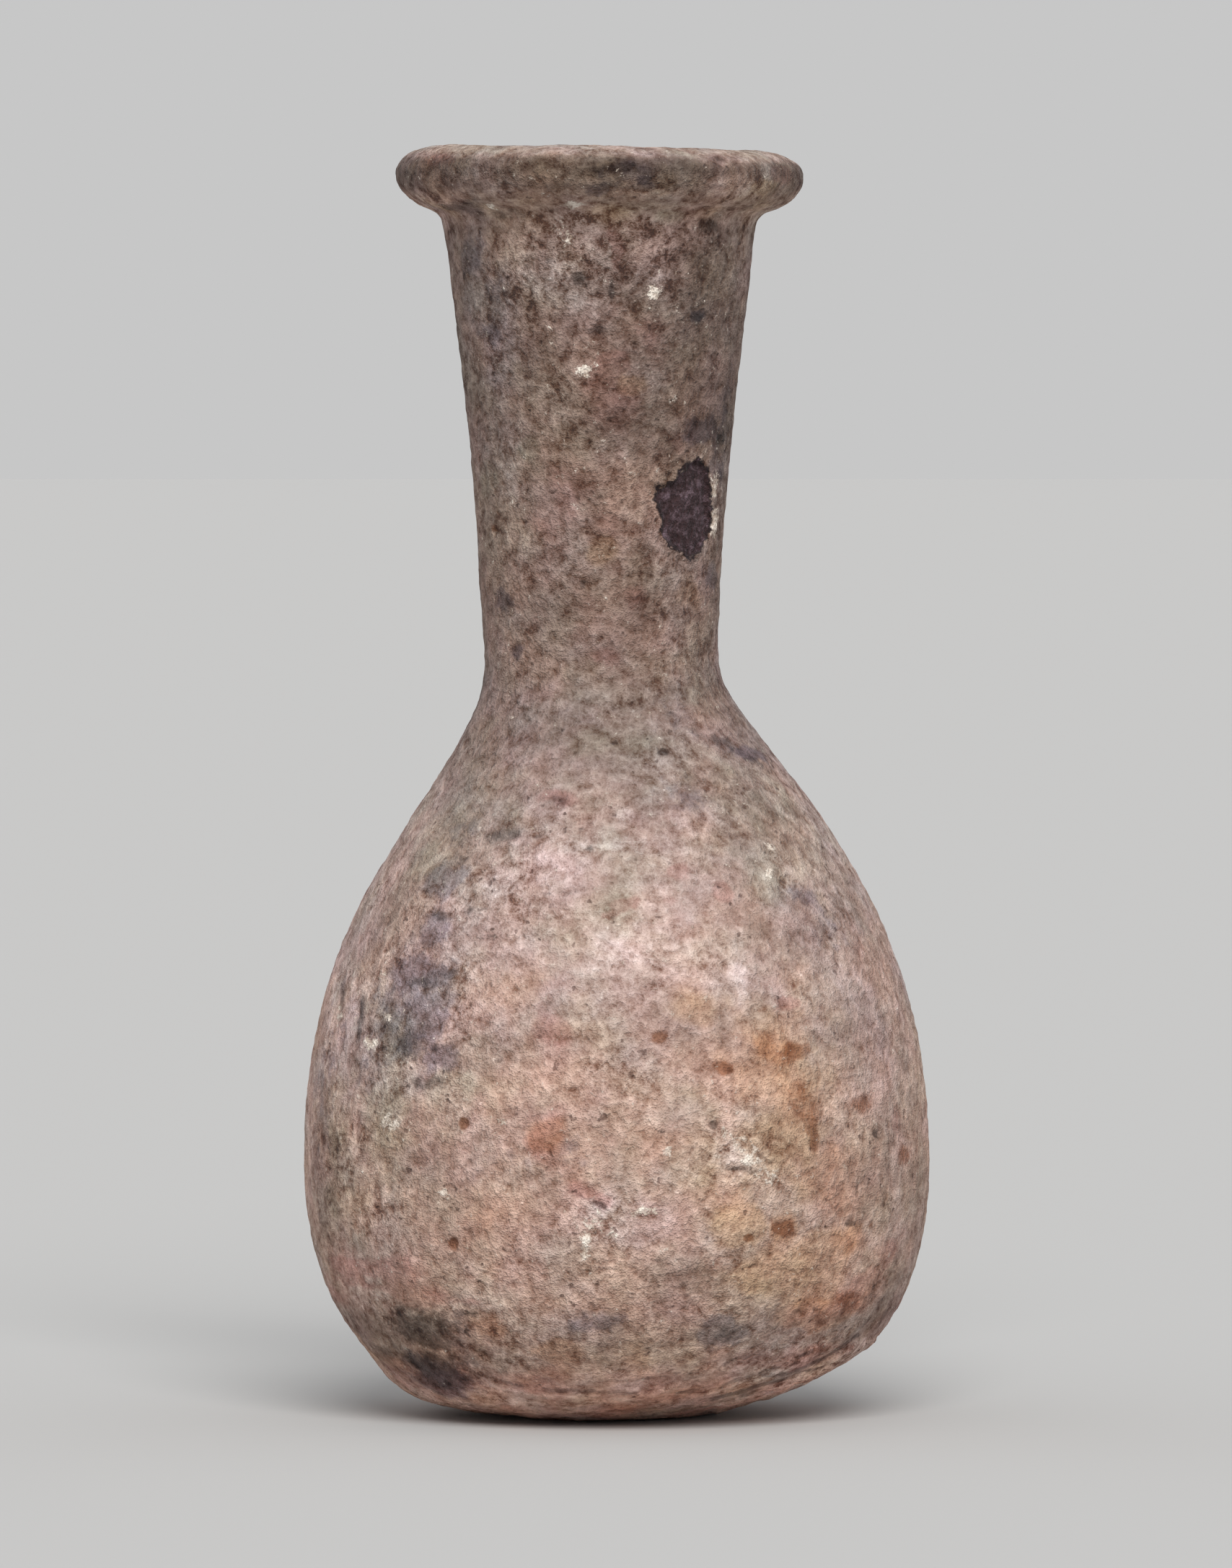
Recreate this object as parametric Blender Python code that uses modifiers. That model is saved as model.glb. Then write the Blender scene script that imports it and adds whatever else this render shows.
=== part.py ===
"""Small wheel-thrown ceramic flask: pear-shaped body, flaring neck and a thick everted lip.

One hollow vessel, open at the mouth. Its outline is turned about the axis of the neck, then set
askew as the clay slumped: the belly bulges to +X, the foot of the belly sits off to -X and the lip
dips on one side. Metres, +Z up. The origin is on the neck's axis, in the plane of the flat spot that
the flask stands on.
"""

import math

import bpy
from mathutils import Vector, noise

# Heights of the parts of the outline, one on top of the other
BODY_HEIGHT = 0.0718
NECK_LENGTH = 0.0404
THROAT_HEIGHT = 0.0017
LIP_THICKNESS = 0.0060

# Body
BELLY_DIAMETER = 0.0590
BELLY_LEVEL = 0.0248
BASE_DIAMETER = 0.0180
DOME_RISE = 0.0015
DOME_REACH = 0.0120
CORNER_DROP = 0.0180
BELLY_RISE = 0.0208
SHOULDER_LENGTH = 0.0120

# Neck, from its foot on the shoulder to the underside of the lip
NECK_FOOT_DIAMETER = 0.0219
NECK_TOP_DIAMETER = 0.0293
ROOT_REACH = 0.0022
ROOT_HEIGHT = 0.0061
ROOT_LOWER_PULL = 0.42
ROOT_UPPER_PULL = 0.36
SHOULDER_SLOPE = math.radians(33.4)
FOOT_FLARE = math.radians(2.3)
TOP_FLARE = math.radians(6.8)

# Lip, with the shares of each span that its curves' handles reach
LIP_DIAMETER = 0.0386
CREST_DIAMETER = 0.0294
LIP_EDGE_DROP = 0.0027
LIP_OVERHANG = 0.0037
MOUTH_DEPTH = 0.0075
THROAT_PULL = 0.6
THROAT_HOLLOW = 0.15
UNDERSIDE_PULL = 0.55
UNDERSIDE_LIFT = 0.14
EDGE_PULL_DOWN = 0.45
EDGE_PULL_UP = 0.6
CREST_PULL = 0.7
MOUTH_PULL = 0.5

# Walls
BODY_WALL = 0.0032
NECK_WALL = 0.0030
FLOOR = 0.0042

# How far the hand-made shape is from true, and the levels between which each fault fades
BELLY_SHIFT = 0.0016
FOOT_SHIFT = -0.0015
SPOT_SHIFT = 0.0010
SPOT_FADE_HEIGHT = 0.0009
FOOT_LEAN_HEIGHT = 0.0066
NECK_TRUE_FROM = 0.81
NECK_TRUE_TO = 1.025
LIP_DIP = 0.0006
LIP_WAVE = 0.00008
WAVE_PHASE = 0.8
WAVE_SHARE = 0.6
OUT_OF_ROUND = 0.010

# The scar where a flake of the surface came off the neck: its middle above the foot, its size and depth
SCAR_RISE = 0.0134
SCAR_AZIMUTH = math.radians(44)
SCAR_HEIGHT = 0.0104
SCAR_WIDTH = 0.0080
SCAR_DEPTH = 0.0004
SCAR_ROUGHNESS = 0.20
SCAR_LUMP_SCALE = 2.3
SCAR_SEED = Vector((3.1, 1.7, 4.6))

# How finely each stretch of the outline is drawn
TURNS = 72
MERGE = 1e-6
DOME_STEPS = 11
SHOULDER_STEPS = 10
ROOT_STEPS = 3
NECK_STEPS = 7
THROAT_STEPS = 2
LIP_STEPS = 5
MOUTH_STEPS = 4
INNER_STRIDE = 2

CLAY = (0.36, 0.27, 0.23, 1.0)
CLAY_ROUGHNESS = 0.85

NECK_TOP_LEVEL = BODY_HEIGHT + NECK_LENGTH
CREST_LEVEL = NECK_TOP_LEVEL + THROAT_HEIGHT + LIP_THICKNESS
SCAR_LEVEL = BODY_HEIGHT + SCAR_RISE


def bezier(start, leave, arrive, end, steps):
    """Points of a cubic curve after its start, up to and with its end. The handles are offsets from the ends."""
    a, d = Vector(start), Vector(end)
    b, c = a + Vector(leave), d + Vector(arrive)
    points = []
    for i in range(1, steps + 1):
        t = i / steps
        s = 1 - t
        points.append(a * s**3 + b * (3 * s * s * t) + c * (3 * s * t * t) + d * t**3)
    return points


def smooth_step(low, high, value):
    t = min(1.0, max(0.0, (value - low) / (high - low)))
    return t * t * (3 - 2 * t)


def body_outline():
    """(radius, height) from the edge of the flat spot, round the belly, to the foot of the neck."""
    belly = (BELLY_DIAMETER / 2, BELLY_LEVEL)
    foot = (NECK_FOOT_DIAMETER / 2, BODY_HEIGHT)
    root = (foot[0] + ROOT_REACH, foot[1] - ROOT_HEIGHT)
    slope = Vector((-math.sin(SHOULDER_SLOPE), math.cos(SHOULDER_SLOPE)))
    leave_root = slope * ROOT_HEIGHT * ROOT_LOWER_PULL
    points = [Vector((BASE_DIAMETER / 2, 0.0))]
    points += bezier(points[0], (DOME_REACH, DOME_RISE), (0, -CORNER_DROP), belly, DOME_STEPS)
    points += bezier(belly, (0, BELLY_RISE), -slope * SHOULDER_LENGTH, root, SHOULDER_STEPS)
    points += bezier(root, leave_root, (0, -ROOT_HEIGHT * ROOT_UPPER_PULL), foot, ROOT_STEPS)
    return points


def neck_outline():
    """(radius, height) from just above the neck's foot to its top."""
    foot = (NECK_FOOT_DIAMETER / 2, BODY_HEIGHT)
    top = (NECK_TOP_DIAMETER / 2, NECK_TOP_LEVEL)
    reach = NECK_LENGTH / 3
    leave = (math.tan(FOOT_FLARE) * reach, reach)
    arrive = (-math.tan(TOP_FLARE) * reach, -reach)
    return bezier(foot, leave, arrive, top, NECK_STEPS)


def lip_outline():
    """(radius, height) from the throat under the lip, round its edge, to its crest."""
    top = Vector((NECK_TOP_DIAMETER / 2, NECK_TOP_LEVEL))
    edge = Vector((LIP_DIAMETER / 2, CREST_LEVEL - LIP_EDGE_DROP))
    throat = Vector((LIP_DIAMETER / 2 - LIP_OVERHANG, CREST_LEVEL - LIP_THICKNESS))
    crest = Vector((CREST_DIAMETER / 2, CREST_LEVEL))
    corner = throat - top
    under_edge = edge.y - throat.y
    top_width = edge.x - crest.x
    leave_top = (0, corner.y * THROAT_PULL)
    into_throat = (-corner.x * THROAT_PULL, -corner.y * THROAT_HOLLOW)
    leave_throat = (LIP_OVERHANG * UNDERSIDE_PULL, under_edge * UNDERSIDE_LIFT)
    points = bezier(top, leave_top, into_throat, throat, THROAT_STEPS)
    points += bezier(throat, leave_throat, (0, -under_edge * EDGE_PULL_DOWN), edge, LIP_STEPS)
    points += bezier(edge, (0, LIP_EDGE_DROP * EDGE_PULL_UP), (top_width * CREST_PULL, 0), crest, LIP_STEPS)
    return points


def inset(points, walls):
    """The same line moved inwards, square to itself, by each point's own wall."""
    moved = []
    last = len(points) - 1
    for i, (point, wall) in enumerate(zip(points, walls)):
        along = (points[min(i + 1, last)] - points[max(i - 1, 0)]).normalized()
        moved.append(point + Vector((-along.y, along.x)) * wall)
    return moved


def wall_at(point):
    """The wall's thickness behind a point of the outline: floor, then body, then neck."""
    floor_share = 1 - smooth_step(BASE_DIAMETER / 2, BELLY_DIAMETER / 2, point.x)
    if point.y > BELLY_LEVEL:
        floor_share = 0
    neck_share = smooth_step(BODY_HEIGHT - ROOT_HEIGHT, BODY_HEIGHT, point.y)
    wall = BODY_WALL + (FLOOR - BODY_WALL) * floor_share
    return wall + (NECK_WALL - wall) * neck_share


def vessel_profile():
    """The closed section from the axis on the inner floor, over the lip, to the axis under the base."""
    outer = body_outline() + neck_outline()
    lip = lip_outline()
    lined = [outer[0]] + outer[INNER_STRIDE:-1:INNER_STRIDE] + [outer[-1]]
    inner = inset(lined, [wall_at(point) for point in lined])
    mouth, crest = inner[-1], lip[-1]
    rise = bezier(mouth, (0, MOUTH_DEPTH * MOUTH_PULL), (mouth.x - crest.x, 0), crest, MOUTH_STEPS)
    outside = (outer + lip[:-1])[::-1]
    return [Vector((0.0, FLOOR))] + inner + rise + outside + [Vector((0.0, 0.0))]


def turned(name, profile):
    """A mesh turned from the profile about the Z axis."""
    line = bpy.data.meshes.new(name + "_profile")
    edges = [(i, i + 1) for i in range(len(profile) - 1)]
    line.from_pydata([(p.x, 0.0, p.y) for p in profile], edges, [])
    obj = bpy.data.objects.new(name + "_profile", line)
    bpy.context.scene.collection.objects.link(obj)
    screw = obj.modifiers.new("Turn", "SCREW")
    screw.axis = "Z"
    screw.angle = math.tau
    screw.steps = screw.render_steps = TURNS
    screw.use_merge_vertices = True
    screw.merge_threshold = MERGE
    graph = bpy.context.evaluated_depsgraph_get()
    mesh = bpy.data.meshes.new_from_object(obj.evaluated_get(graph))
    mesh.name = name
    bpy.data.objects.remove(obj)
    return mesh


def side_shift(level):
    """How far the clay has slumped along X at a level: flat spot, foot, belly, and the neck true."""
    foot = FOOT_SHIFT + (SPOT_SHIFT - FOOT_SHIFT) * (1 - smooth_step(0, SPOT_FADE_HEIGHT, level))
    lean = foot + (BELLY_SHIFT - foot) * smooth_step(0, FOOT_LEAN_HEIGHT, level)
    return lean * (1 - smooth_step(NECK_TRUE_FROM, NECK_TRUE_TO, level / BODY_HEIGHT))


def lip_rise(x, y, level):
    """How far the lip is above true: it dips towards +X, with a slow wave."""
    share = smooth_step(NECK_TOP_LEVEL - LIP_THICKNESS, CREST_LEVEL, level)
    around = math.atan2(y, x)
    wave = math.cos(2 * around + WAVE_PHASE) + WAVE_SHARE * math.cos(3 * around)
    return share * (LIP_WAVE * wave - LIP_DIP * smooth_step(0, LIP_DIAMETER / 2, x))


def set_askew(mesh):
    """Moves the turned shape off true, its outer and inner side alike. The flat spot stays flat."""
    for vertex in mesh.vertices:
        x, y, level = vertex.co
        belly = smooth_step(0, BELLY_LEVEL, level) * (1 - smooth_step(BELLY_LEVEL, BODY_HEIGHT, level))
        vertex.co.x = x * (1 + OUT_OF_ROUND * belly / 2) + side_shift(level)
        vertex.co.y = y * (1 - OUT_OF_ROUND * belly / 2)
        vertex.co.z = level + lip_rise(x, y, level)


def neck_radius(level):
    """The neck's outer radius at a level, read from its outline."""
    line = neck_outline()
    below = max((p for p in line[:-1] if p.y <= level), key=lambda p: p.y, default=line[0])
    above = line[line.index(below) + 1]
    share = (level - below.y) / (above.y - below.y)
    return below.x + (above.x - below.x) * share


def scar_cutter():
    """A lumpy lens that bites into the neck's surface, lying against it along its whole width."""
    bpy.ops.mesh.primitive_ico_sphere_add(subdivisions=3, radius=1.0)
    cutter = bpy.context.active_object
    cutter.name = "scar_cutter"
    for vertex in cutter.data.vertices:
        lumps = 1 + SCAR_ROUGHNESS * noise.noise(vertex.co * SCAR_LUMP_SCALE + SCAR_SEED)
        side, out, up = vertex.co * lumps
        height = up * SCAR_HEIGHT / 2
        radius = neck_radius(SCAR_LEVEL + height)
        turn = -side * SCAR_WIDTH / 2 / radius
        reach = radius + out * SCAR_DEPTH
        vertex.co = (math.sin(turn) * reach, -math.cos(turn) * reach, height)
    cutter.location.z = SCAR_LEVEL
    cutter.rotation_euler.z = SCAR_AZIMUTH
    cutter.hide_render = True
    cutter.display_type = "WIRE"
    return cutter


def cut(obj, cutter):
    boolean = obj.modifiers.new("Scar", "BOOLEAN")
    boolean.operation = "DIFFERENCE"
    boolean.solver = "EXACT"
    boolean.object = cutter


def ceramic():
    material = bpy.data.materials.new("weathered_ceramic")
    material.use_nodes = True
    shader = material.node_tree.nodes["Principled BSDF"]
    shader.inputs["Base Color"].default_value = CLAY
    shader.inputs["Roughness"].default_value = CLAY_ROUGHNESS
    shader.inputs["Metallic"].default_value = 0.0
    return material


def collection(name):
    made = bpy.data.collections.new(name)
    bpy.context.scene.collection.children.link(made)
    return made


def move_to(obj, home):
    for other in list(obj.users_collection):
        other.objects.unlink(obj)
    home.objects.link(obj)


def main():
    for obj in list(bpy.data.objects):
        bpy.data.objects.remove(obj)
    parts = collection("ceramic_flask")
    cutters = collection("cutters")

    mesh = turned("flask", vessel_profile())
    set_askew(mesh)
    mesh.shade_smooth()
    mesh.materials.append(ceramic())
    flask = bpy.data.objects.new("flask", mesh)
    parts.objects.link(flask)

    scar = scar_cutter()
    move_to(scar, cutters)
    cut(flask, scar)


main()
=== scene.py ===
"""The looks of the small ceramic flask: worn relief, stains, lime crust and a scar, in soft studio light.

The flask's CAD solid is copied to an even fine mesh, which gets its relief from functions of place and
from marks put where the photograph shows them. The same marks give each point of the mesh its share of
every stain, of painted shade along the sides and of painted highlights, and the material turns those
shares and fine grain into colour, roughness and bump. The clay's tone also holds painted light at the
base and under the lip, and a painted highlight on the lip's top.

Marks are placed where they show in the photograph, in its own pixels. The sides that the photograph
doesn't show get marks from seeded noise.
"""

import itertools
import math

import bpy
import numpy as np
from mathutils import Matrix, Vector
from mathutils.bvhtree import BVHTree


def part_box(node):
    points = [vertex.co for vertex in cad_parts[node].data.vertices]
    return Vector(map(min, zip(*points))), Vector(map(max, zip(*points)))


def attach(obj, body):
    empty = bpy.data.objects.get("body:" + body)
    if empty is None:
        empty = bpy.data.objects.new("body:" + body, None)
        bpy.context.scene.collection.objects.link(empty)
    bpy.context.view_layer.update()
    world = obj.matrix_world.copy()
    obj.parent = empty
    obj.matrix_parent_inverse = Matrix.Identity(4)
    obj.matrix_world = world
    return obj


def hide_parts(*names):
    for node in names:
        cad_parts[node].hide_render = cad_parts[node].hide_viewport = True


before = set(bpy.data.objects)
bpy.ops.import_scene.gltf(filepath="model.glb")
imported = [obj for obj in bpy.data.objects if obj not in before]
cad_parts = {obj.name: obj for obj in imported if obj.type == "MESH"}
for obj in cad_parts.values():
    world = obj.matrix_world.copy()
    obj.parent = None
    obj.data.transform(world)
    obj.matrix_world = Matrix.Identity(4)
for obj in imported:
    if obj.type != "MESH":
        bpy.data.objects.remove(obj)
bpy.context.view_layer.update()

MM = 0.001

# Camera: the photograph is 1708 x 2174 pixels, and one of them covers this much at the flask's axis
PHOTO_WIDTH, PHOTO_HEIGHT = 1708, 2174
PIXEL = 0.0682 * MM
CAMERA_DISTANCE = 1.2
CAMERA_ELEVATION = math.radians(1.8)
CAMERA_AIM = Vector((1.55, 0, 59.7)) * MM
SENSOR = 36

# The fine mesh. The inner wall is smoothed below the brim, and thinned where the mouth hides it
VOXEL = 0.33 * MM
SMOOTHING_ROUNDS = 6
MOST_TRIANGLES = 196000
HIDDEN_THINNING = 0.9
INNER_ROUNDS = 40
INNER_BRIM = 3 * MM
SEEN_INSIDE = 80 * MM
MERGE = 0.001 * MM

# Levels of the flask, in metres
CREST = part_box("flask")[1].z
THROAT = 112 * MM
NECK_FOOT = 75.8 * MM
FLOOR_TOP = 4.2 * MM
# Above the throat, points beyond this radius lie on the outer side: levels and radii in millimetres
LIP_SPLIT = ((112, 118, 119.9), (13.2, 13.4, 14.7))
LIP_BLEND = 0.8 * MM
# How far before and behind the axis the strokes and ledges of the front fade
FRONT_BLEND = 6 * MM
# The upward share of the normal where the lip's top begins, and where it is all top
RIM_SLOPES = (0.60, 0.92)

# What makes the edges of marks wander: size and reach of the offsets, and seed
WIDE_WARP = (6 * MM, 1.5 * MM, 31)
FINE_WARP = (1.9 * MM, 0.45 * MM, 41)
# Marks smaller than these wander less
WIDE_FULL = 3.5 * MM
FINE_FULL = 1.0 * MM
WARP_REACH = 2.5 * MM
# The least share of its true size that a mark is taken to show where the surface turns away
LEAST_SHOWN = 0.4
# Where a mark's share falls to 0 and where it rises to 1, in its own half sizes
STAIN_FADE = (1.5, 0.2)
ROUGH_FADE = (1.5, 0.3)
PIT_FADE = (1.15, 0.35)
CRUST_FADE = (1.2, 0.5)
STROKE_FADE = (1.6, 0.3)

# Relief, as depths and heights square to the surface
LUMP_SIZE = 17 * MM
LUMP_HEIGHT = 0.16 * MM
DENT_SIZE = 5 * MM
DENT_HEIGHT = 0.07 * MM
GRAIN_SIZE = 1.15 * MM
GRAIN_HEIGHT = 0.07 * MM
RING_PITCH = 1.7 * MM
RING_HEIGHT = 0.012 * MM
RING_DRIFT = 0.5
RING_DRIFT_SIZE = 24 * MM
SHAVED_TOP = 13 * MM
SHAVED_PITCH = 1.25 * MM
SHAVED_HEIGHT = 0.08 * MM
SHAVED_GAPS = 9 * MM
SHAVED_TILT = 0.08
PIT_CELL = 3.1 * MM
PIT_RADIUS = 0.75 * MM
PIT_DEPTH = 0.22 * MM
SCAR_DEPTH = 0.50 * MM
SCAR_EDGE = 0.32 * MM
FAR_FROM_SCAR = 9 * MM
CRUST_HEIGHT = 0.10 * MM
CRUST_GRAIN = 0.8 * MM
INNER_RING_PITCH = 3.1 * MM
INNER_RING_HEIGHT = 0.10 * MM
INNER_RING_DRIFT = 0.6
INNER_DRIFT_SIZE = 30 * MM
INNER_ROUGH_SIZE = 3 * MM
INNER_ROUGH_HEIGHT = 0.10 * MM

# How rough the scar is at its outline, on its floor and round it: height and size in millimetres, and seed
SCAR_RAGGED = [(0.24, 0.8, 51), (0.20, 2.2, 52)]
SCAR_FLOOR_ROUGH = [(0.07, 1.0, 91), (0.08, 3.0, 92)]
SCAR_RIM_ROUGH = [(0.04, 1.3, 93)]

# The scar's outline, in the photograph's pixels
SCAR_OUTLINE = [
    (965, 637), (975, 640), (985, 650), (986, 668), (990, 680), (985, 700), (987, 725), (984, 745),
    (975, 758), (968, 770), (958, 780), (948, 770), (938, 763), (926, 757), (920, 745), (914, 735),
    (917, 722), (911, 710), (912, 700), (903, 694), (908, 684), (906, 672), (922, 668), (932, 664),
    (940, 655), (950, 650), (955, 642),
]

# Ledges left by the knife on the lower body: the height of each in millimetres, and its line in pixels
LEDGES = [
    (0.28, [(1000, 1958), (1080, 1932), (1150, 1900), (1205, 1862)]),
    (0.18, [(1050, 1915), (1120, 1888), (1190, 1842)]),
    (0.18, [(890, 1946), (925, 1930), (955, 1922)]),
    (0.15, [(505, 1858), (560, 1905), (630, 1938), (715, 1952)]),
]
# Where a ledge rises and where it is cut away, and how wide, in millimetres across its line
LEDGE_RIDGE = (0.25, 0.35)
LEDGE_CUT = (-0.7, 0.5)
LEDGE_CUT_SHARE = 0.8


def smooth_step(low, high, value):
    t = np.clip((value - low) / (high - low), 0, 1)
    return t * t * (3 - 2 * t)


# Random fields over points in space

GRADIENTS = np.random.default_rng(7).normal(size=(64, 3))
GRADIENTS /= np.linalg.norm(GRADIENTS, axis=1)[:, None]
CORNERS = list(itertools.product((0, 1), repeat=3))
NEIGHBOURS = list(itertools.product((-1, 0, 1), repeat=3))
PRIMES = np.array([73856093, 19349663, 83492791], np.int64)
NOISE_GAIN = 1.7


def cell_numbers(cells, seed):
    """One random whole number for each cell of a grid."""
    mixed = (cells * PRIMES).sum(1) + seed * 2654435761
    mixed = (mixed ^ (mixed >> 15)) * 2246822519 & 0xFFFFFFFF
    mixed = (mixed ^ (mixed >> 13)) * 3266489917 & 0xFFFFFFFF
    return mixed ^ (mixed >> 16)


def noise(points, size, seed):
    """Smooth random values, mostly between -1 and 1, whose lumps are about one size across."""
    placed = points / size
    cells = np.floor(placed).astype(np.int64)
    inside = placed - cells
    fade = inside**3 * (inside * (inside * 6 - 15) + 10)
    total = np.zeros(len(points))
    for corner in CORNERS:
        gradient = GRADIENTS[cell_numbers(cells + corner, seed) % len(GRADIENTS)]
        share = np.where(corner, fade, 1 - fade).prod(1)
        total += share * (gradient * (inside - corner)).sum(1)
    return total * NOISE_GAIN


def layered(points, size, seed, layers=3, gain=0.5):
    """Noise with finer noise on top."""
    total = np.zeros(len(points))
    for layer in range(layers):
        total += gain**layer * noise(points, size / 2**layer, seed + layer)
    return total


def rough(points, layers):
    """Noises added up, in metres. Each has its height and size in millimetres, and its seed."""
    return MM * sum(height * noise(points, size * MM, seed) for height, size, seed in layers)


def spots(points, cell, seed):
    """(distance to the nearest scattered spot, that spot's own number from 0 to 1)."""
    placed = points / cell
    cells = np.floor(placed).astype(np.int64)
    nearest = np.full(len(points), np.inf)
    number = np.zeros(len(points))
    for step in NEIGHBOURS:
        mixed = cell_numbers(cells + step, seed)
        spot = np.stack([(mixed >> shift & 1023) / 1023 for shift in (0, 10, 20)], 1)
        distance = np.linalg.norm(cells + step + spot - placed, axis=1)
        closer = distance < nearest
        nearest[closer] = distance[closer]
        number[closer] = (mixed[closer] >> 4 & 255) / 255
    return nearest * cell, number


# The fine mesh

def camera_place():
    away = Vector((0, -math.cos(CAMERA_ELEVATION), math.sin(CAMERA_ELEVATION)))
    return CAMERA_AIM + away * CAMERA_DISTANCE


def evaluated_mesh(obj):
    graph = bpy.context.evaluated_depsgraph_get()
    return bpy.data.meshes.new_from_object(obj.evaluated_get(graph))


def applied(obj):
    """The object with its modifiers applied to its mesh."""
    mesh = evaluated_mesh(obj)
    obj.modifiers.clear()
    obj.data = mesh
    return obj


def even_copy(node, name):
    """A dense, even copy of a CAD node, with its facets smoothed away."""
    obj = bpy.data.objects.new(name, node.data.copy())
    bpy.context.scene.collection.objects.link(obj)
    weld = obj.modifiers.new("Weld", "WELD")
    weld.merge_threshold = MERGE
    rounder = obj.modifiers.new("Round", "SUBSURF")
    rounder.levels = rounder.render_levels = 2
    even = obj.modifiers.new("Even", "REMESH")
    even.mode = "VOXEL"
    even.voxel_size = VOXEL
    smooth = obj.modifiers.new("Smooth", "SMOOTH")
    smooth.factor = 0.5
    smooth.iterations = SMOOTHING_ROUNDS
    return applied(obj)


def triangles_in(obj):
    return sum(len(face.vertices) - 2 for face in obj.data.polygons)


def decimated(obj, ratio, group=""):
    """The object with this share of its triangles. Where a group is named, only they become fewer."""
    thin = obj.modifiers.new("Thin", "DECIMATE")
    thin.ratio = min(1, ratio)
    thin.use_collapse_triangulate = True
    thin.vertex_group = group
    return applied(obj)


def thinned(obj, hidden):
    """The object with as many triangles as a piece may have, fewest of them where the mouth hides them."""
    inner = obj.vertex_groups.new(name="inner")
    inner.add(np.flatnonzero(hidden).tolist(), 1.0, "REPLACE")
    decimated(obj, 1 - HIDDEN_THINNING * hidden.mean(), inner.name)
    return decimated(obj, MOST_TRIANGLES / triangles_in(obj))


def points_of(mesh):
    """(points, normals) of a mesh as arrays."""
    points = np.empty(len(mesh.vertices) * 3, np.float32)
    mesh.vertices.foreach_get("co", points)
    normals = np.empty(len(mesh.vertices) * 3, np.float32)
    mesh.vertex_normals.foreach_get("vector", normals)
    return points.reshape(-1, 3).astype(float), normals.reshape(-1, 3).astype(float)


def outer_side(points, normals):
    """1 for each point of the outer side, 0 for the inner side, and shares between on the lip's top."""
    levels = points[:, 2]
    radius = np.hypot(points[:, 0], points[:, 1])
    radial = (normals[:, :2] * points[:, :2]).sum(1) / np.maximum(radius, MERGE)
    downward = np.where(levels < 2 * FLOOR_TOP, -normals[:, 2], 0)
    split = np.interp(levels / MM, *LIP_SPLIT) * MM
    share = smooth_step(split - LIP_BLEND, split + LIP_BLEND, radius)
    return np.where(levels > THROAT, share, radial + downward > 0)


def smooth_inside(obj):
    """Takes the steps of the remesh off the inner wall, which has too little relief to hide them."""
    points, normals = points_of(obj.data)
    inner = (outer_side(points, normals) < 0.5) & (points[:, 2] < CREST - INNER_BRIM)
    group = obj.vertex_groups.new(name="inner_wall")
    group.add(np.flatnonzero(inner).tolist(), 1.0, "REPLACE")
    smooth = obj.modifiers.new("Smooth inside", "SMOOTH")
    smooth.factor = 0.5
    smooth.iterations = INNER_ROUNDS
    smooth.vertex_group = group.name
    applied(obj)


class Surface:
    """Points of the flask's surface with what the relief and the stains need to know of each."""

    def __init__(self, mesh, form):
        self.points, self.normals = points_of(mesh)
        self.x, self.y, self.z = self.points.T
        self.form = form
        self.radius = np.hypot(self.x, self.y)
        self.outside = outer_side(self.points, self.normals)
        self.front = smooth_step(FRONT_BLEND, -FRONT_BLEND, self.y)
        self.rim = smooth_step(*RIM_SLOPES, self.normals[:, 2]) * smooth_step(THROAT, CREST, self.z)
        self.pictured = form.pictured(self.points)
        self.wide_warp = self.wandering(*WIDE_WARP)
        self.fine_warp = self.wandering(*FINE_WARP)

    def wandering(self, size, reach, seed):
        """An offset for each point, which makes the edge of a mark wander."""
        return np.stack([reach * noise(self.points, size, seed + axis) for axis in range(3)], 1)

    def wandered(self, loose=1):
        """Where the points show in the photograph when the fine offsets are added, in its pixels."""
        x, y = self.pictured
        return x + self.fine_warp[:, 0] / PIXEL * loose, y + self.fine_warp[:, 2] / PIXEL * loose


class Form:
    """The smooth form that marks are placed on, and where its points show in the photograph."""

    def __init__(self, mesh):
        self.tree = BVHTree.FromPolygons([v.co for v in mesh.vertices], [p.vertices for p in mesh.polygons])
        self.eye = camera_place()
        self.ahead = (CAMERA_AIM - self.eye).normalized()
        self.right = self.ahead.cross(Vector((0, 0, 1))).normalized()
        self.up = self.right.cross(self.ahead)

    def pictured(self, points):
        """Where points show in the photograph, in its pixels."""
        offset = points - np.array(self.eye)
        scale = CAMERA_DISTANCE / PIXEL / (offset @ np.array(self.ahead))
        across = PHOTO_WIDTH / 2 + offset @ np.array(self.right) * scale
        down = PHOTO_HEIGHT / 2 - offset @ np.array(self.up) * scale
        return across, down

    def seen_at(self, x, y):
        """(point, normal) of the flask that a pixel of the photograph shows."""
        aim = CAMERA_AIM + self.right * (x - PHOTO_WIDTH / 2) * PIXEL
        aim += self.up * (PHOTO_HEIGHT / 2 - y) * PIXEL
        point, normal, _, _ = self.tree.ray_cast(self.eye, (aim - self.eye).normalized())
        if point is None:
            point, normal, _, _ = self.tree.find_nearest(aim)
        return np.array(point), np.array(normal)


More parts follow.
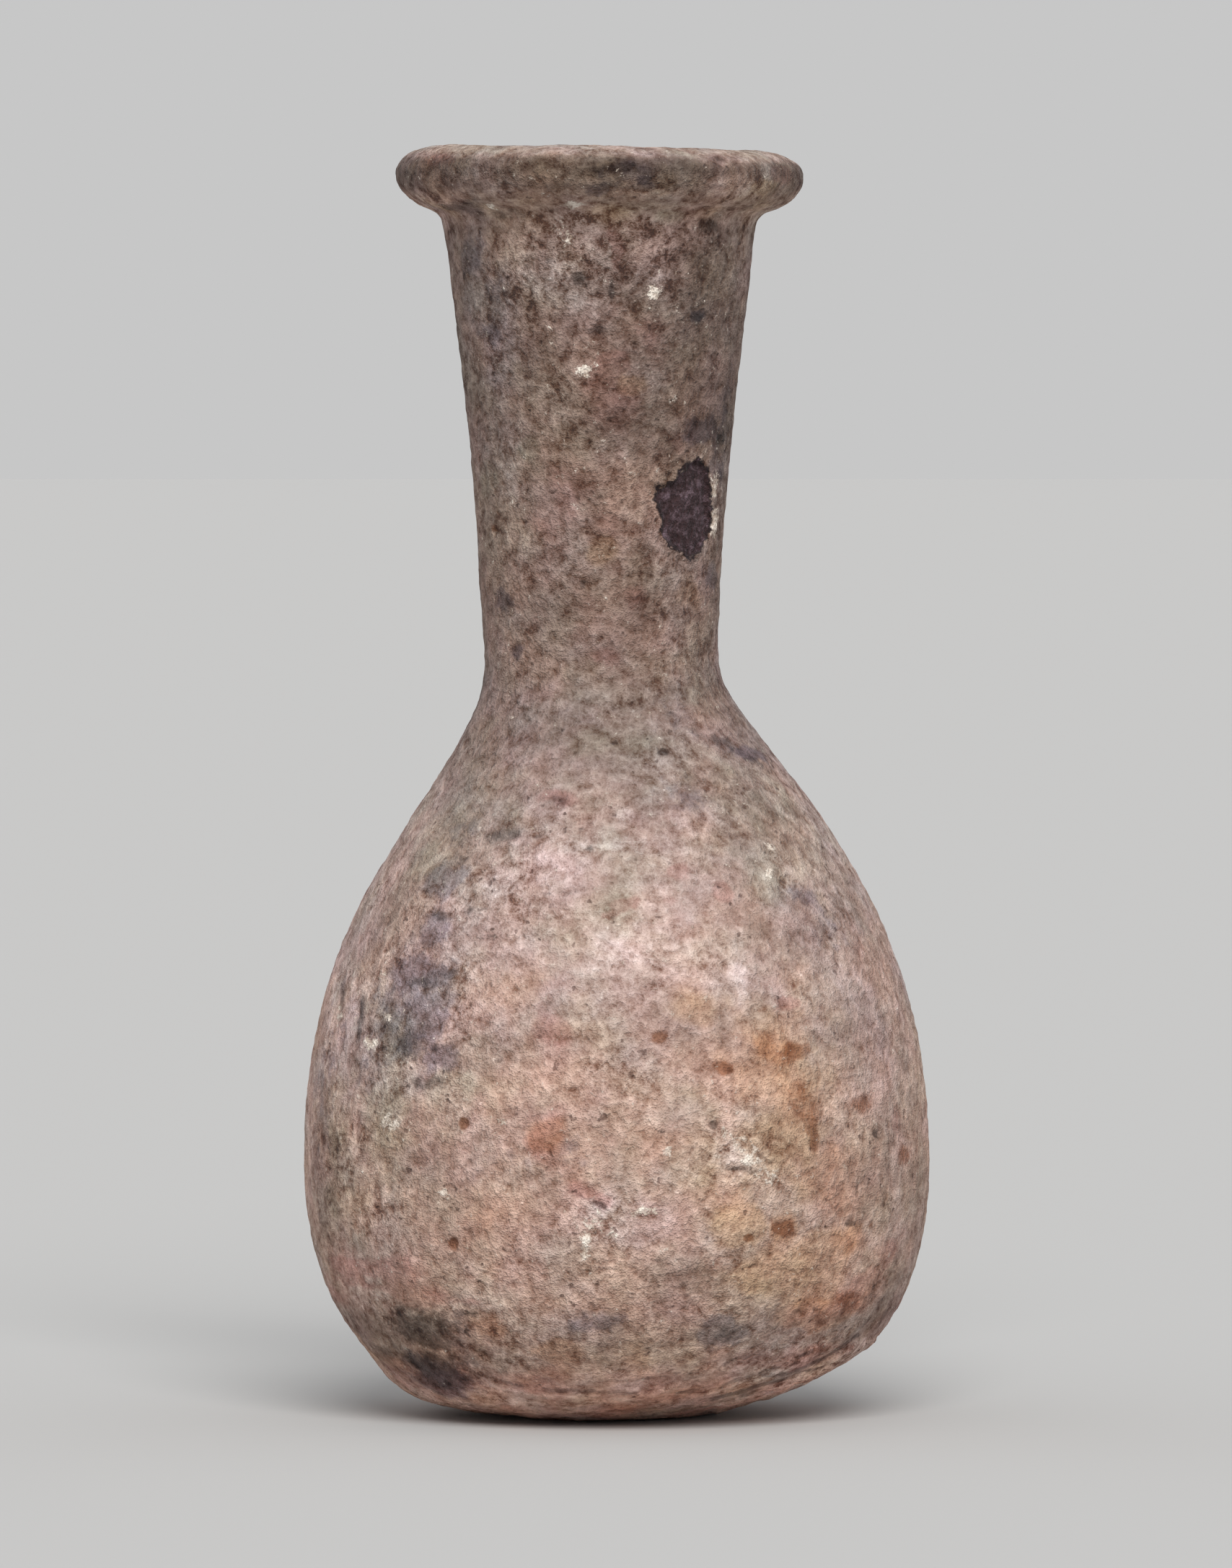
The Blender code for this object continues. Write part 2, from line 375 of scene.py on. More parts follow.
def mark_share(surface, x, y, half_width, half_height, low, high):
    """A mark's share at each point: 1 where it is nearer its middle than high, 0 beyond low, in its sizes."""
    middle, normal = surface.form.seen_at(x, y)
    across = np.cross((0, 0, 1), normal)
    across /= np.linalg.norm(across)
    along = np.cross(normal, across)
    width = half_width * PIXEL / max(abs(across[0]), LEAST_SHOWN)
    height = half_height * PIXEL / max(abs(along[2]), LEAST_SHOWN)
    size = min(width, height)
    shares = np.zeros(len(surface.points))
    reach = low * max(width, height) + WARP_REACH
    near = np.flatnonzero(((surface.points - middle) ** 2).sum(1) < reach**2)
    offset = surface.points[near] - middle
    offset += surface.wide_warp[near] * min(1, size / WIDE_FULL)
    offset += surface.fine_warp[near] * min(1, size / FINE_FULL)
    depth = offset @ normal / max(width, height)
    distance = np.sqrt((offset @ across / width) ** 2 + (offset @ along / height) ** 2 + depth**2)
    shares[near] = smooth_step(low, high, distance)
    return shares


# Distances in the photograph's plane

def line_distance(x, y, line, closed=False):
    """(distance to a line of pixels, side of its nearest stretch)."""
    nearest = np.full(len(x), np.inf)
    side = np.zeros(len(x))
    for (ax, ay), (bx, by) in zip(line, line[1:] + line[:1] if closed else line[1:]):
        dx, dy = bx - ax, by - ay
        t = np.clip(((x - ax) * dx + (y - ay) * dy) / (dx * dx + dy * dy), 0, 1)
        distance = np.hypot(x - ax - dx * t, y - ay - dy * t)
        closer = distance < nearest
        nearest[closer] = distance[closer]
        side[closer] = np.sign(dy * (x - ax) - dx * (y - ay))[closer]
    return nearest, side


def inside_outline(x, y, outline):
    """True for each point inside a closed outline."""
    inside = np.zeros(len(x), bool)
    for (ax, ay), (bx, by) in zip(outline, outline[1:] + outline[:1]):
        crosses = (ay > y) != (by > y)
        at = (bx - ax) * (y - ay) / (by - ay + 1e-9) + ax
        inside ^= crosses & (x < at)
    return inside


def scar_depth_in(surface):
    """How far inside the scar's edge each point lies, in metres, below 0 outside it."""
    x, y = surface.pictured
    distance, _ = line_distance(x, y, SCAR_OUTLINE, closed=True)
    signed = np.where(inside_outline(x, y, SCAR_OUTLINE), distance, -distance) * PIXEL
    signed = np.where((surface.y < 0) & (surface.outside > 0), signed, -FAR_FROM_SCAR)
    return signed + rough(surface.points, SCAR_RAGGED)


# Relief

def neck_radius_at(surface, levels):
    """The neck's outer radius at each level, read from its side away from the scar."""
    bare = (surface.outside > 0) & (surface.x < 0) & (surface.z > NECK_FOOT) & (surface.z < THROAT)
    order = np.argsort(surface.z[bare])
    return np.interp(levels, surface.z[bare][order], surface.radius[bare][order])


def ring_relief(surface):
    """Fine rings from the wheel, and rougher ones where the lower body was shaved."""
    drift = RING_DRIFT * noise(surface.points, RING_DRIFT_SIZE, 61)
    rings = np.sin(math.tau * (surface.z / RING_PITCH + drift)) * RING_HEIGHT
    along = surface.z - surface.radius
    tilted = np.stack([along * 0, along * 0, along], 1) + SHAVED_TILT * surface.points
    shaved = layered(tilted, SHAVED_PITCH, 62, layers=2)
    broken = smooth_step(-0.3, 0.5, noise(surface.points, SHAVED_GAPS, 63))
    low = smooth_step(SHAVED_TOP, SHAVED_TOP / 3, surface.z)
    return rings + shaved * broken * low * SHAVED_HEIGHT


def bell(value, middle, width):
    return np.exp(-(((value - middle) / width) ** 2))


def ledge_relief(surface):
    """Thin steps that the knife left: raised on one side of each line, cut away on the other."""
    x, y = surface.wandered()
    total = np.zeros(len(x))
    for height, line in LEDGES:
        distance, side = line_distance(x, y, line)
        signed = distance * side * PIXEL / MM
        total += height * MM * (bell(signed, *LEDGE_RIDGE) - LEDGE_CUT_SHARE * bell(signed, *LEDGE_CUT))
    return total * surface.front


def pit_relief(surface):
    """Scattered pits where grit and chaff left the clay."""
    distance, number = spots(surface.points, PIT_CELL, 71)
    radius = PIT_RADIUS * (0.45 + 0.8 * number)
    return -PIT_DEPTH * (0.4 + 0.6 * number) * smooth_step(radius, 0.3 * radius, distance)


def outer_relief(surface):
    """How far each point of the outer side moves along its normal."""
    points = surface.points
    lumps = LUMP_HEIGHT * layered(points, LUMP_SIZE, 11)
    dents = DENT_HEIGHT * layered(points, DENT_SIZE, 21)
    grain = GRAIN_HEIGHT * layered(points, GRAIN_SIZE, 25, layers=2)
    total = lumps + dents + grain + ring_relief(surface) + ledge_relief(surface) + pit_relief(surface)
    for x, y, half_width, half_height, depth in PITS:
        total -= depth * MM * mark_share(surface, x, y, half_width, half_height, *PIT_FADE)
    uneven = 0.6 + 0.5 * noise(points, CRUST_GRAIN, 81)
    for x, y, half_width, half_height, strength in MARKS["lime"]:
        share = mark_share(surface, x, y, half_width, half_height, *CRUST_FADE)
        total += CRUST_HEIGHT * strength * uneven * share
    return total


def inner_relief(surface):
    """How far each point of the inner wall moves along its normal: broad rings and a rough skin."""
    drift = INNER_RING_DRIFT * noise(surface.points, INNER_DRIFT_SIZE, 95)
    rings = INNER_RING_HEIGHT * np.sin(math.tau * (surface.z / INNER_RING_PITCH + drift))
    return rings + INNER_ROUGH_HEIGHT * layered(surface.points, INNER_ROUGH_SIZE, 96)


def cut_scar(surface, moved):
    """The moved points with the scar's floor cut to an even, rough depth under the neck's own surface."""
    inside = scar_depth_in(surface)
    near = inside > -SCAR_EDGE
    cut = smooth_step(-0.1 * SCAR_EDGE, SCAR_EDGE, inside)
    neck = neck_radius_at(surface, surface.z)
    floor = neck - SCAR_DEPTH + rough(surface.points, SCAR_FLOOR_ROUGH)
    wanted = neck + rough(surface.points, SCAR_RIM_ROUGH)
    wanted = wanted + (floor - wanted) * cut
    share = np.where(near, smooth_step(-SCAR_EDGE, 0, inside), 0)
    radius = np.hypot(moved[:, 0], moved[:, 1])
    scale = 1 + share * (wanted / np.maximum(radius, MERGE) - 1)
    moved = moved.copy()
    moved[:, :2] *= scale[:, None]
    return moved


def carve(obj, form):
    """Gives the even copy its relief, above the ground, and tells which points the mouth hides."""
    surface = Surface(obj.data, form)
    inner = inner_relief(surface)
    move = inner + (outer_relief(surface) - inner) * surface.outside
    moved = surface.points + surface.normals * move[:, None]
    moved = cut_scar(surface, moved)
    moved[:, 2] = np.maximum(moved[:, 2], 0)
    obj.data.vertices.foreach_set("co", moved.astype(np.float32).ravel())
    obj.data.update()
    return (surface.outside < 0.5) & (surface.z < SEEN_INSIDE)


# Marks that the photograph shows, for each kind of stain from the top down: middle, half width and
# half height in pixels, and strength
MARKS = {
    "cool": [
        (680, 430, 40, 120, 0.9), (830, 1060, 160, 90, 0.8), (640, 1150, 70, 90, 0.9),
        (1080, 1150, 90, 90, 0.9), (840, 1250, 170, 110, 0.9), (1180, 1330, 80, 160, 0.8),
        (540, 1400, 110, 160, 0.9), (870, 1700, 70, 50, 0.8),
    ],
    "green": [
        (700, 240, 20, 20, 0.2), (927, 306, 26, 16, 1.0), (986, 470, 22, 34, 0.4),
        (730, 620, 18, 20, 0.8), (674, 663, 14, 24, 1.0), (800, 879, 28, 22, 0.3),
        (870, 960, 40, 30, 0.2), (850, 1020, 120, 50, 0.6), (830, 1050, 60, 40, 0.4),
        (640, 1130, 80, 90, 0.9), (1070, 1150, 100, 100, 0.9), (800, 1260, 150, 90, 0.5),
        (545, 1500, 80, 120, 0.7), (619, 1519, 38, 40, 1.2), (960, 1520, 40, 40, 0.5),
        (490, 1635, 62, 105, 0.8),
    ],
    "ochre": [
        (744, 250, 30, 14, 0.3), (663, 251, 28, 14, 0.5), (1062, 262, 20, 12, 1.1),
        (1001, 366, 22, 50, 0.4), (875, 537, 22, 16, 1.0), (830, 767, 28, 26, 0.8),
        (956, 827, 20, 38, 0.6), (960, 1404, 40, 36, 0.8), (1110, 1500, 50, 110, 0.5),
        (1075, 1560, 110, 190, 0.6), (1000, 1577, 30, 40, 0.2), (1023, 1692, 46, 30, 1.2),
        (1139, 1739, 46, 40, 1.0), (1120, 1760, 90, 60, 0.9), (1046, 1765, 62, 34, 0.7),
    ],
    "orange": [
        (1016, 228, 16, 12, 0.2), (662, 1392, 36, 40, 0.3), (1075, 1461, 34, 22, 1.0),
        (758, 1572, 32, 30, 0.9), (1162, 1635, 46, 56, 0.5), (690, 1700, 34, 34, 0.4),
        (1087, 1700, 26, 24, 1.2), (1180, 1720, 30, 30, 0.6), (1139, 1819, 62, 22, 1.2),
        (677, 1832, 26, 28, 0.9), (769, 1872, 42, 22, 1.2),
    ],
    "red": [
        (614, 221, 24, 8, 1.0), (1085, 240, 16, 16, 1.1), (852, 345, 13, 34, 1.2),
        (889, 458, 42, 30, 0.6), (763, 507, 32, 18, 0.5), (852, 507, 26, 15, 1.1),
        (912, 559, 26, 30, 0.2), (830, 560, 80, 70, 0.5), (841, 567, 44, 46, 0.5),
        (942, 619, 22, 20, 0.5), (823, 656, 52, 34, 0.3), (810, 690, 90, 90, 0.5),
        (741, 730, 30, 28, 0.6), (875, 819, 22, 22, 0.9), (800, 860, 70, 80, 0.4),
        (837, 909, 26, 18, 0.9), (748, 968, 42, 22, 0.4), (745, 1088, 20, 10, 0.4),
        (775, 1104, 30, 12, 1.2), (965, 1200, 14, 10, 0.5), (942, 1212, 16, 14, 1.2),
        (1003, 1236, 14, 16, 1.1), (770, 1240, 18, 12, 0.2), (930, 1250, 16, 8, 0.5),
        (862, 1256, 26, 8, 1.2), (1092, 1392, 18, 8, 1.2), (769, 1438, 30, 28, 0.8),
        (850, 1450, 20, 10, 0.3), (735, 1548, 28, 22, 0.6), (1246, 1556, 16, 30, 0.6),
        (765, 1575, 40, 44, 0.9), (770, 1596, 18, 24, 0.7), (815, 1655, 28, 12, 0.6),
        (610, 1700, 14, 16, 0.3), (1231, 1739, 20, 30, 0.7), (560, 1745, 90, 26, 0.3),
        (487, 1762, 50, 18, 1.2), (552, 1768, 32, 26, 1.2), (469, 1796, 26, 20, 0.8),
        (1196, 1796, 36, 30, 1.1), (1252, 1796, 16, 50, 1.0), (590, 1798, 50, 22, 0.8),
        (1104, 1884, 90, 20, 0.9), (1000, 1912, 60, 20, 0.3), (729, 1918, 60, 18, 0.9),
        (833, 1925, 90, 18, 0.3),
    ],
    "rust": [
        (840, 560, 16, 12, 0.3), (685, 735, 6, 6, 1.1), (757, 753, 9, 12, 0.2), (1060, 1400, 8, 6, 0.7),
        (913, 1438, 11, 10, 1.0), (1060, 1440, 14, 10, 0.5), (1100, 1456, 26, 16, 0.9),
        (1006, 1483, 14, 13, 1.2), (1112, 1500, 30, 80, 0.35), (1196, 1533, 14, 14, 0.8),
        (1118, 1540, 22, 60, 0.5), (1085, 1540, 8, 14, 0.3), (642, 1556, 9, 8, 1.2),
        (1122, 1571, 10, 36, 0.9), (765, 1590, 22, 26, 0.3), (1254, 1600, 10, 18, 0.8),
        (1150, 1650, 40, 40, 0.3), (1207, 1700, 7, 6, 0.8), (1087, 1701, 18, 15, 1.2),
        (1036, 1715, 9, 5, 1.0), (631, 1725, 11, 11, 1.2), (1175, 1800, 24, 14, 0.7),
        (1139, 1822, 50, 18, 0.3), (677, 1832, 24, 26, 0.4), (1090, 1862, 40, 4, 0.4),
        (1150, 1870, 44, 6, 0.6), (769, 1874, 40, 20, 0.4),
    ],
    "grey": [
        (652, 351, 24, 32, 0.8), (689, 403, 24, 32, 0.5), (674, 456, 26, 26, 0.6),
        (668, 576, 20, 26, 0.2), (994, 641, 12, 28, 0.7), (986, 797, 10, 26, 1.0),
        (934, 983, 60, 40, 0.3), (960, 1095, 46, 36, 0.5), (640, 1150, 30, 30, 0.6),
        (619, 1219, 36, 28, 1.2), (1110, 1240, 26, 20, 0.8), (598, 1288, 30, 28, 0.9),
        (1150, 1288, 32, 40, 0.5), (573, 1348, 50, 28, 1.2), (560, 1400, 80, 90, 0.6),
        (588, 1404, 42, 40, 1.0), (527, 1404, 40, 60, 0.4), (612, 1466, 28, 28, 0.8),
        (510, 1479, 26, 30, 0.5), (450, 1500, 26, 140, 0.5), (800, 1600, 30, 30, 0.4),
        (700, 1620, 60, 40, 0.3), (700, 1790, 40, 16, 0.3), (827, 1831, 54, 20, 0.7),
        (1006, 1848, 34, 28, 1.2),
    ],
    "plum": [
        (862, 236, 50, 20, 0.7), (897, 252, 22, 14, 0.8), (835, 262, 50, 12, 0.6),
        (968, 437, 10, 10, 1.2), (1004, 590, 14, 100, 0.5), (979, 598, 30, 22, 1.2),
        (702, 834, 16, 24, 0.9), (720, 905, 12, 12, 0.8), (1035, 1042, 36, 14, 0.8),
        (572, 1444, 26, 24, 0.7), (600, 1905, 50, 34, 0.8), (619, 1918, 50, 26, 1.2),
    ],
    # The dirt marks along the neck's right edge and along the body's left and right edges are painted shade
    # where the form turns away from the light; the others are dirt
    "dirt_and_side_shade": [
        (856, 240, 90, 34, 0.7), (600, 240, 40, 30, 0.4), (985, 400, 40, 120, 0.9),
        (865, 400, 24, 80, 0.5), (1012, 400, 16, 90, 0.6), (975, 560, 50, 70, 1.0),
        (1004, 560, 20, 150, 0.8), (845, 590, 60, 30, 0.6), (1000, 590, 16, 60, 0.6),
        (922, 600, 44, 120, 0.7), (1006, 600, 22, 120, 0.7), (892, 610, 24, 110, 0.5),
        (930, 640, 50, 30, 0.6), (996, 700, 10, 100, 0.9), (885, 820, 28, 80, 0.7),
        (660, 1090, 44, 70, 0.4), (1060, 1140, 90, 80, 0.6), (460, 1260, 30, 60, 0.5),
        (1090, 1280, 110, 90, 0.7), (555, 1290, 66, 100, 0.8), (1200, 1300, 70, 130, 0.6),
        (575, 1400, 60, 110, 0.5), (530, 1460, 80, 110, 0.6), (650, 1470, 90, 70, 0.45),
        (1010, 1470, 40, 80, 0.4), (545, 1500, 70, 80, 0.5), (1240, 1500, 40, 160, 0.5),
        (1270, 1620, 24, 160, 0.6), (1215, 1630, 50, 80, 0.6), (450, 1640, 30, 140, 0.8),
        (950, 1780, 90, 50, 0.7), (1230, 1800, 30, 60, 0.7), (520, 1850, 40, 50, 0.8),
        (590, 1880, 90, 60, 1.2), (540, 1890, 30, 40, 0.8),
    ],
    "pale": [
        (1070, 230, 30, 22, 1.0), (1034, 238, 28, 20, 1.0), (640, 240, 60, 22, 0.6),
        (1020, 262, 40, 16, 1.0), (696, 340, 12, 10, 0.4), (770, 373, 26, 22, 0.9),
        (905, 385, 28, 20, 0.7), (740, 400, 20, 26, 1.0), (800, 425, 42, 20, 0.5), (961, 585, 7, 5, 0.6),
        (705, 620, 24, 90, 0.6), (790, 690, 22, 16, 0.8), (996, 700, 6, 50, 0.9), (863, 1130, 14, 9, 1.2),
        (792, 1196, 62, 50, 0.6), (1081, 1219, 40, 50, 0.6), (830, 1250, 150, 130, 0.45),
        (613, 1254, 14, 8, 0.3), (862, 1312, 54, 46, 0.9), (560, 1318, 30, 14, 0.4),
        (720, 1330, 40, 30, 0.3), (1023, 1335, 17, 55, 0.7), (487, 1392, 22, 50, 0.5),
        (560, 1500, 18, 22, 0.2), (1222, 1508, 14, 12, 1.2), (505, 1540, 16, 12, 0.3),
        (1035, 1605, 50, 44, 0.7), (940, 1640, 50, 24, 0.7), (850, 1700, 56, 34, 0.5),
        (645, 1862, 12, 8, 1.0), (1100, 1868, 70, 16, 0.7), (1140, 1905, 30, 4, 0.7),
        (1090, 1925, 40, 5, 0.8), (935, 1932, 13, 6, 1.0),
    ],
    "soot": [
        (815, 205, 10, 8, 0.4), (964, 236, 30, 12, 0.2), (1078, 268, 24, 10, 0.5),
        (640, 285, 40, 10, 0.7), (726, 296, 60, 10, 0.5), (979, 314, 18, 10, 0.8), (900, 330, 9, 6, 0.8),
        (960, 350, 12, 8, 0.5), (756, 358, 9, 5, 0.8), (803, 388, 14, 10, 1.0), (776, 398, 6, 6, 0.4),
        (848, 404, 5, 20, 1.2), (968, 437, 12, 12, 0.8), (733, 442, 9, 5, 0.4), (825, 458, 14, 9, 0.8),
        (925, 500, 8, 8, 0.2), (798, 565, 8, 6, 0.2), (1000, 610, 7, 7, 1.2), (810, 809, 6, 6, 0.8),
        (1010, 1026, 14, 10, 0.6), (919, 1040, 10, 6, 1.1), (735, 1102, 10, 5, 0.5),
        (776, 1108, 18, 8, 0.6), (806, 1150, 6, 5, 0.6), (700, 1156, 24, 14, 0.7), (745, 1160, 8, 5, 0.5),
        (818, 1178, 9, 6, 0.9), (640, 1190, 14, 8, 0.8), (690, 1240, 14, 4, 0.3), (660, 1268, 14, 5, 0.4),
        (612, 1270, 18, 6, 0.9), (610, 1348, 24, 12, 0.6), (867, 1352, 5, 5, 0.8),
        (585, 1360, 38, 12, 0.7), (540, 1380, 7, 18, 0.4), (800, 1395, 6, 4, 0.5), (716, 1400, 7, 4, 0.3),
        (748, 1440, 6, 5, 0.6), (655, 1450, 7, 5, 0.5), (605, 1452, 9, 9, 0.9), (690, 1470, 7, 5, 0.8),
        (590, 1500, 24, 12, 0.8), (885, 1556, 7, 5, 0.6), (990, 1558, 7, 6, 1.1), (918, 1569, 7, 6, 0.8),
        (1216, 1572, 5, 8, 1.0), (455, 1600, 16, 60, 0.3), (1050, 1600, 5, 10, 0.3),
        (1022, 1620, 20, 3, 0.9), (440, 1690, 10, 30, 0.3), (1178, 1696, 7, 5, 1.0),
        (520, 1700, 20, 16, 0.3), (816, 1700, 6, 4, 0.5), (1202, 1800, 14, 5, 0.5),
        (515, 1820, 30, 14, 0.2), (585, 1842, 54, 34, 0.9), (1010, 1850, 22, 16, 0.6),
        (540, 1872, 30, 14, 0.4), (648, 1880, 18, 28, 0.6), (740, 1895, 26, 8, 0.3),
        (612, 1900, 50, 34, 0.9), (690, 1900, 14, 10, 0.5), (1100, 1905, 60, 4, 0.8),
        (1030, 1935, 40, 4, 0.7),
    ],
    "lime": [
        (797, 284, 14, 6, 1.2), (684, 287, 7, 4, 1.1), (757, 292, 8, 5, 0.6), (782, 332, 16, 16, 0.5),
        (908, 404, 13, 12, 1.2), (825, 508, 6, 6, 0.5), (811, 516, 13, 8, 1.2), (996, 612, 4, 4, 0.3),
        (990, 672, 5, 10, 1.0), (989, 725, 5, 14, 1.0), (1066, 1174, 7, 6, 1.2), (1065, 1210, 6, 9, 1.1),
        (524, 1350, 8, 12, 0.6), (500, 1370, 5, 22, 0.2), (470, 1410, 5, 26, 0.6), (541, 1413, 6, 8, 1.0),
        (515, 1447, 10, 9, 1.2), (546, 1553, 14, 12, 1.2), (697, 1555, 8, 6, 0.9),
        (1003, 1567, 11, 9, 1.1), (1023, 1585, 14, 12, 0.9), (925, 1600, 10, 7, 1.2),
        (995, 1600, 10, 6, 0.3), (1042, 1606, 18, 10, 1.1), (1066, 1632, 20, 12, 0.9),
        (614, 1655, 10, 8, 1.0), (895, 1680, 22, 6, 1.1), (826, 1690, 22, 10, 0.6),
        (852, 1712, 12, 10, 0.7), (812, 1722, 16, 30, 0.7),
    ],
}

# Streaks, cracks, ledges and a painted highlight: kind, half width in pixels, strength, and the line in
# pixels
STROKES = [
    # Painted highlight: the pale stroke along the edge of the lower right ledge
    ("pale", 5, 1.0, [(985, 1953), (1080, 1927), (1150, 1894), (1200, 1858)]),
    ("soot", 3, 0.7, [(985, 1941), (1080, 1913), (1145, 1882), (1190, 1850)]),
    ("rust", 5, 0.3, [(1040, 1905), (1110, 1882), (1180, 1845)]),
    ("soot", 3, 0.5, [(930, 1935), (1000, 1920), (1090, 1890), (1170, 1850)]),
    ("rust", 5, 0.3, [(960, 1900), (1040, 1880), (1120, 1848), (1190, 1812)]),
    ("pale", 4, 0.8, [(915, 1942), (930, 1930), (955, 1924)]),
    ("red", 6, 0.7, [(455, 1770), (520, 1785), (600, 1800), (660, 1806)]),
    ("soot", 4, 0.7, [(545, 1812), (600, 1818), (660, 1822)]),
    ("soot", 4, 0.6, [(540, 1832), (600, 1840), (650, 1844)]),
    ("pale", 4, 0.5, [(520, 1822), (580, 1829), (650, 1833)]),
    ("pale", 5, 0.9, [(470, 1345), (463, 1400), (455, 1450)]),
    ("pale", 5, 0.8, [(492, 1350), (484, 1410), (480, 1440)]),
    ("soot", 4, 0.7, [(505, 1380), (498, 1440)]),
    ("soot", 4, 0.6, [(478, 1352), (471, 1410)]),
    ("pale", 7, 0.9, [(1022, 1290), (1028, 1345), (1030, 1395)]),
    ("pale", 4, 0.6, [(1008, 1300), (1012, 1360)]),
    ("soot", 3, 0.9, [(795, 1652), (812, 1662), (830, 1667), (843, 1672)]),
    ("red", 9, 0.9, [(797, 1648), (812, 1656), (830, 1660), (843, 1666)]),
    ("soot", 5, 0.5, [(995, 1612), (1020, 1622), (1048, 1625)]),
    ("soot", 5, 0.4, [(1040, 1590), (1060, 1606), (1075, 1612)]),
    ("lime", 8, 0.55, [(1000, 1568), (1022, 1588), (1046, 1612), (1078, 1636)]),
    ("lime", 4, 0.8, [(1030, 1578), (1052, 1596)]),
    ("lime", 4, 0.8, [(875, 1684), (893, 1680), (913, 1682)]),
    ("lime", 6, 0.9, [(808, 1742), (812, 1718), (822, 1700)]),
    ("lime", 4, 0.8, [(815, 1694), (845, 1688)]),
    ("pale", 3, 0.8, [(722, 372), (728, 392), (733, 402)]),
    ("pale", 3, 0.7, [(676, 432), (684, 448), (700, 452)]),
    ("red", 7, 0.9, [(840, 1270), (858, 1258), (880, 1250)]),
    ("soot", 6, 0.3, [(770, 1180), (830, 1192), (900, 1188)]),
    ("pale", 5, 0.8, [(760, 1170), (820, 1176), (900, 1168)]),
    ("pale", 4, 0.6, [(860, 1210), (900, 1206), (960, 1214)]),
    ("soot", 3, 0.5, [(740, 1240), (800, 1236)]),
    ("soot", 3, 0.5, [(640, 1262), (700, 1258)]),
    ("soot", 3, 0.5, [(660, 1300), (740, 1296)]),
    ("lime", 5, 1.0, [(990, 660), (991, 686)]),
    ("lime", 5, 1.0, [(991, 708), (990, 742)]),
    ("pale", 4, 0.8, [(968, 633), (984, 643)]),
    ("pale", 4, 0.8, [(900, 690), (906, 700)]),
    ("soot", 6, 0.6, [(955, 1012), (1010, 1032), (1070, 1070)]),
    ("rust", 4, 0.6, [(850, 372), (852, 392)]),
    ("pale", 5, 0.6, [(700, 1925), (780, 1938), (880, 1944)]),
    ("soot", 4, 0.5, [(690, 1915), (780, 1928), (880, 1932)]),
    ("pale", 4, 0.5, [(620, 1880), (700, 1903), (800, 1915)]),
    ("soot", 4, 0.4, [(880, 1915), (980, 1900), (1070, 1868)]),
    ("pale", 4, 0.6, [(1010, 1922), (1090, 1897), (1150, 1868)]),
    ("pale", 4, 0.5, [(560, 1868), (600, 1890), (640, 1902)]),
]

# Areas where the crust is rougher: middle, half width and half height in pixels
ROUGH_AREAS = [
    (780, 380, 110, 80), (940, 330, 60, 60), (560, 1400, 90, 110), (470, 1640, 60, 120), (600, 1860, 80, 60),
    (660, 1230, 90, 60), (1020, 1610, 80, 60), (830, 1710, 60, 50), (1120, 1890, 120, 50),
]

# Single pits that the photograph shows: middle, half width and half height in pixels, depth in millimetres
PITS = [
    (643, 1557, 8, 7, 0.35), (631, 1725, 9, 9, 0.35), (1085, 1700, 13, 11, 0.22), (720, 1741, 6, 5, 0.30),
    (816, 1655, 24, 9, 0.28), (1050, 1526, 5, 7, 0.30), (1217, 1572, 7, 10, 0.30), (918, 1569, 7, 6, 0.30),
    (1035, 1714, 9, 5, 0.30), (1177, 1696, 7, 6, 0.30), (1107, 1820, 6, 7, 0.30), (960, 1808, 6, 7, 0.25),
    (657, 1277, 6, 4, 0.20), (707, 1280, 6, 4, 0.20), (685, 738, 5, 5, 0.30), (812, 809, 5, 5, 0.25),
    (849, 405, 6, 20, 0.20), (990, 1558, 6, 6, 0.25), (885, 1556, 7, 5, 0.25), (783, 800, 4, 4, 0.25),
    (965, 430, 7, 7, 0.20), (803, 386, 9, 6, 0.18), (825, 460, 8, 6, 0.18), (919, 1040, 9, 6, 0.15),
    (691, 1470, 7, 5, 0.25), (748, 1440, 6, 5, 0.25), (655, 1451, 7, 5, 0.25), (716, 1400, 7, 4, 0.20),
    (700, 1156, 18, 8, 0.15), (1000, 611, 5, 5, 0.20), (867, 1352, 5, 5, 0.25), (815, 203, 9, 6, 0.25),
    (1022, 1620, 18, 4, 0.20), (1006, 1483, 11, 9, 0.12), (913, 1438, 9, 8, 0.12), (812, 1395, 6, 4, 0.2),
    (670, 1330, 6, 4, 0.20), (640, 1350, 7, 4, 0.20), (735, 1310, 6, 4, 0.20), (690, 1365, 6, 4, 0.2),
    (760, 1500, 5, 4, 0.20), (830, 1520, 5, 4, 0.20), (900, 1500, 5, 4, 0.20), (600, 1640, 6, 5, 0.2),
]

# What each kind of stain does to the clay's light, then to its red, green and blue. The dirt kind also
# carries painted shade along the sides, and the pale kind painted highlights
STAINS = {
    "cool": (1.0, (0.95, 1.0, 1.08)),
    "green": (0.92, (0.95, 1.02, 0.97)),
    "ochre": (0.96, (1.06, 0.99, 0.84)),
    "orange": (0.84, (1.13, 0.98, 0.84)),
    "red": (0.80, (1.13, 0.96, 0.95)),
    "rust": (0.42, (1.32, 0.94, 0.72)),
    "grey": (0.66, (0.95, 1.00, 1.13)),
    "plum": (0.46, (1.00, 0.98, 1.14)),
    "dirt_and_side_shade": (0.72, (1.03, 1.0, 0.97)),
    "pale": (1.32, (0.95, 1.01, 1.05)),
    "soot": (0.42, (1.02, 1.00, 1.00)),
}
KINDS = (*STAINS, "lime")

